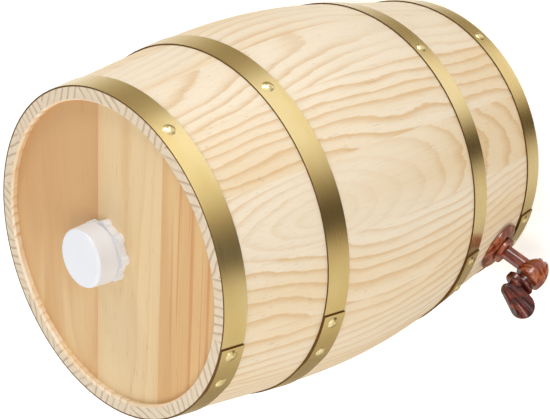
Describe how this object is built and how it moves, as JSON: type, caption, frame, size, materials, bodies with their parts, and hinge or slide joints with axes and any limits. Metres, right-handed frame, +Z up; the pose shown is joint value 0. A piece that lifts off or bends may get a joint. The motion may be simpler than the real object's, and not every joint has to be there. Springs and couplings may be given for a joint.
{
  "type": "cask drink dispenser",
  "caption": "Upright wooden cask drink dispenser with brass hoops, a plastic tank inside, a screw-capped filler in the top head and a key tap low on the side.",
  "frame": {"origin": "centre of the base on the cask's axis, at the height of the surface it stands on", "axes": "+Z up along the cask's axis to the capped head, tap facing -Y, +X to the right seen from the tap side"},
  "size_m": [0.2674, 0.3092, 0.3488],
  "materials": {
    "stave_pine": "turned pine, clear satin lacquer",
    "head_pine": "planed pine boards, clear satin lacquer",
    "hoop_brass": "satin rolled brass strip",
    "nail_brass": "domed brass nail heads",
    "tank_plastic": "natural polyethylene",
    "white_plastic": "white moulded plastic, satin",
    "seal_rubber": "white food-grade silicone",
    "tap_resin": "glossy red-brown marbled plastic",
    "clip_steel": "stainless spring clip"
  },
  "bodies": {
    "cask": {"tap_stave": "stave_pine", "stave_01": "stave_pine", "stave_02": "stave_pine", "stave_03": "stave_pine", "stave_04": "stave_pine", "stave_05": "stave_pine", "stave_06": "stave_pine", "stave_07": "stave_pine", "stave_08": "stave_pine", "stave_09": "stave_pine", "stave_10": "stave_pine", "stave_11": "stave_pine", "stave_12": "stave_pine", "stave_13": "stave_pine", "stave_14": "stave_pine", "stave_15": "stave_pine", "top_head_board_1": "head_pine", "top_head_board_2": "head_pine", "top_head_board_3": "head_pine", "top_head_board_4": "head_pine", "bottom_head_board_1": "head_pine", "bottom_head_board_2": "head_pine", "bottom_head_board_3": "head_pine", "bottom_head_board_4": "head_pine", "base_chime_hoop": "hoop_brass", "lower_bilge_hoop": "hoop_brass", "upper_bilge_hoop": "hoop_brass", "top_chime_hoop": "hoop_brass", "base_chime_hoop_nails": "nail_brass", "lower_bilge_hoop_nails": "nail_brass", "upper_bilge_hoop_nails": "nail_brass", "top_chime_hoop_nails": "nail_brass", "tank": "tank_plastic", "filler_neck": "white_plastic", "neck_gasket": "seal_rubber", "filler_collar": "white_plastic", "tap_flange": "tap_resin", "flange_gasket": "seal_rubber", "tank_seal": "seal_rubber", "tank_nut": "white_plastic", "tap_body": "tap_resin"},
    "seal": {"cap_seal": "seal_rubber"},
    "cap": {"screw_cap": "white_plastic"},
    "key": {"tap_key": "tap_resin", "key_seals": "seal_rubber", "key_clip": "clip_steel"}
  },
  "joints": [
    {"name": "cap_lift", "type": "slide", "parent": "cask", "child": "seal", "axis": [0, 0, 1], "range_m": [0, 0.018]},
    {"name": "cap_turn", "type": "hinge", "parent": "seal", "child": "cap", "pos_m": [0.0015, 0.0037, 0.34], "axis": [0, 0, 1], "range_deg": [0, 1080]},
    {"name": "key_turn", "type": "hinge", "parent": "cask", "child": "key", "pos_m": [0, -0.15521, 0.03501], "axis": [-0.4988, -0.0542, 0.865], "range_deg": [0, 90]}
  ],
  "couplings": [
    {"joint": "cap_turn", "follows": "cap_lift", "rad_per_m": 1047.2}
  ]
}
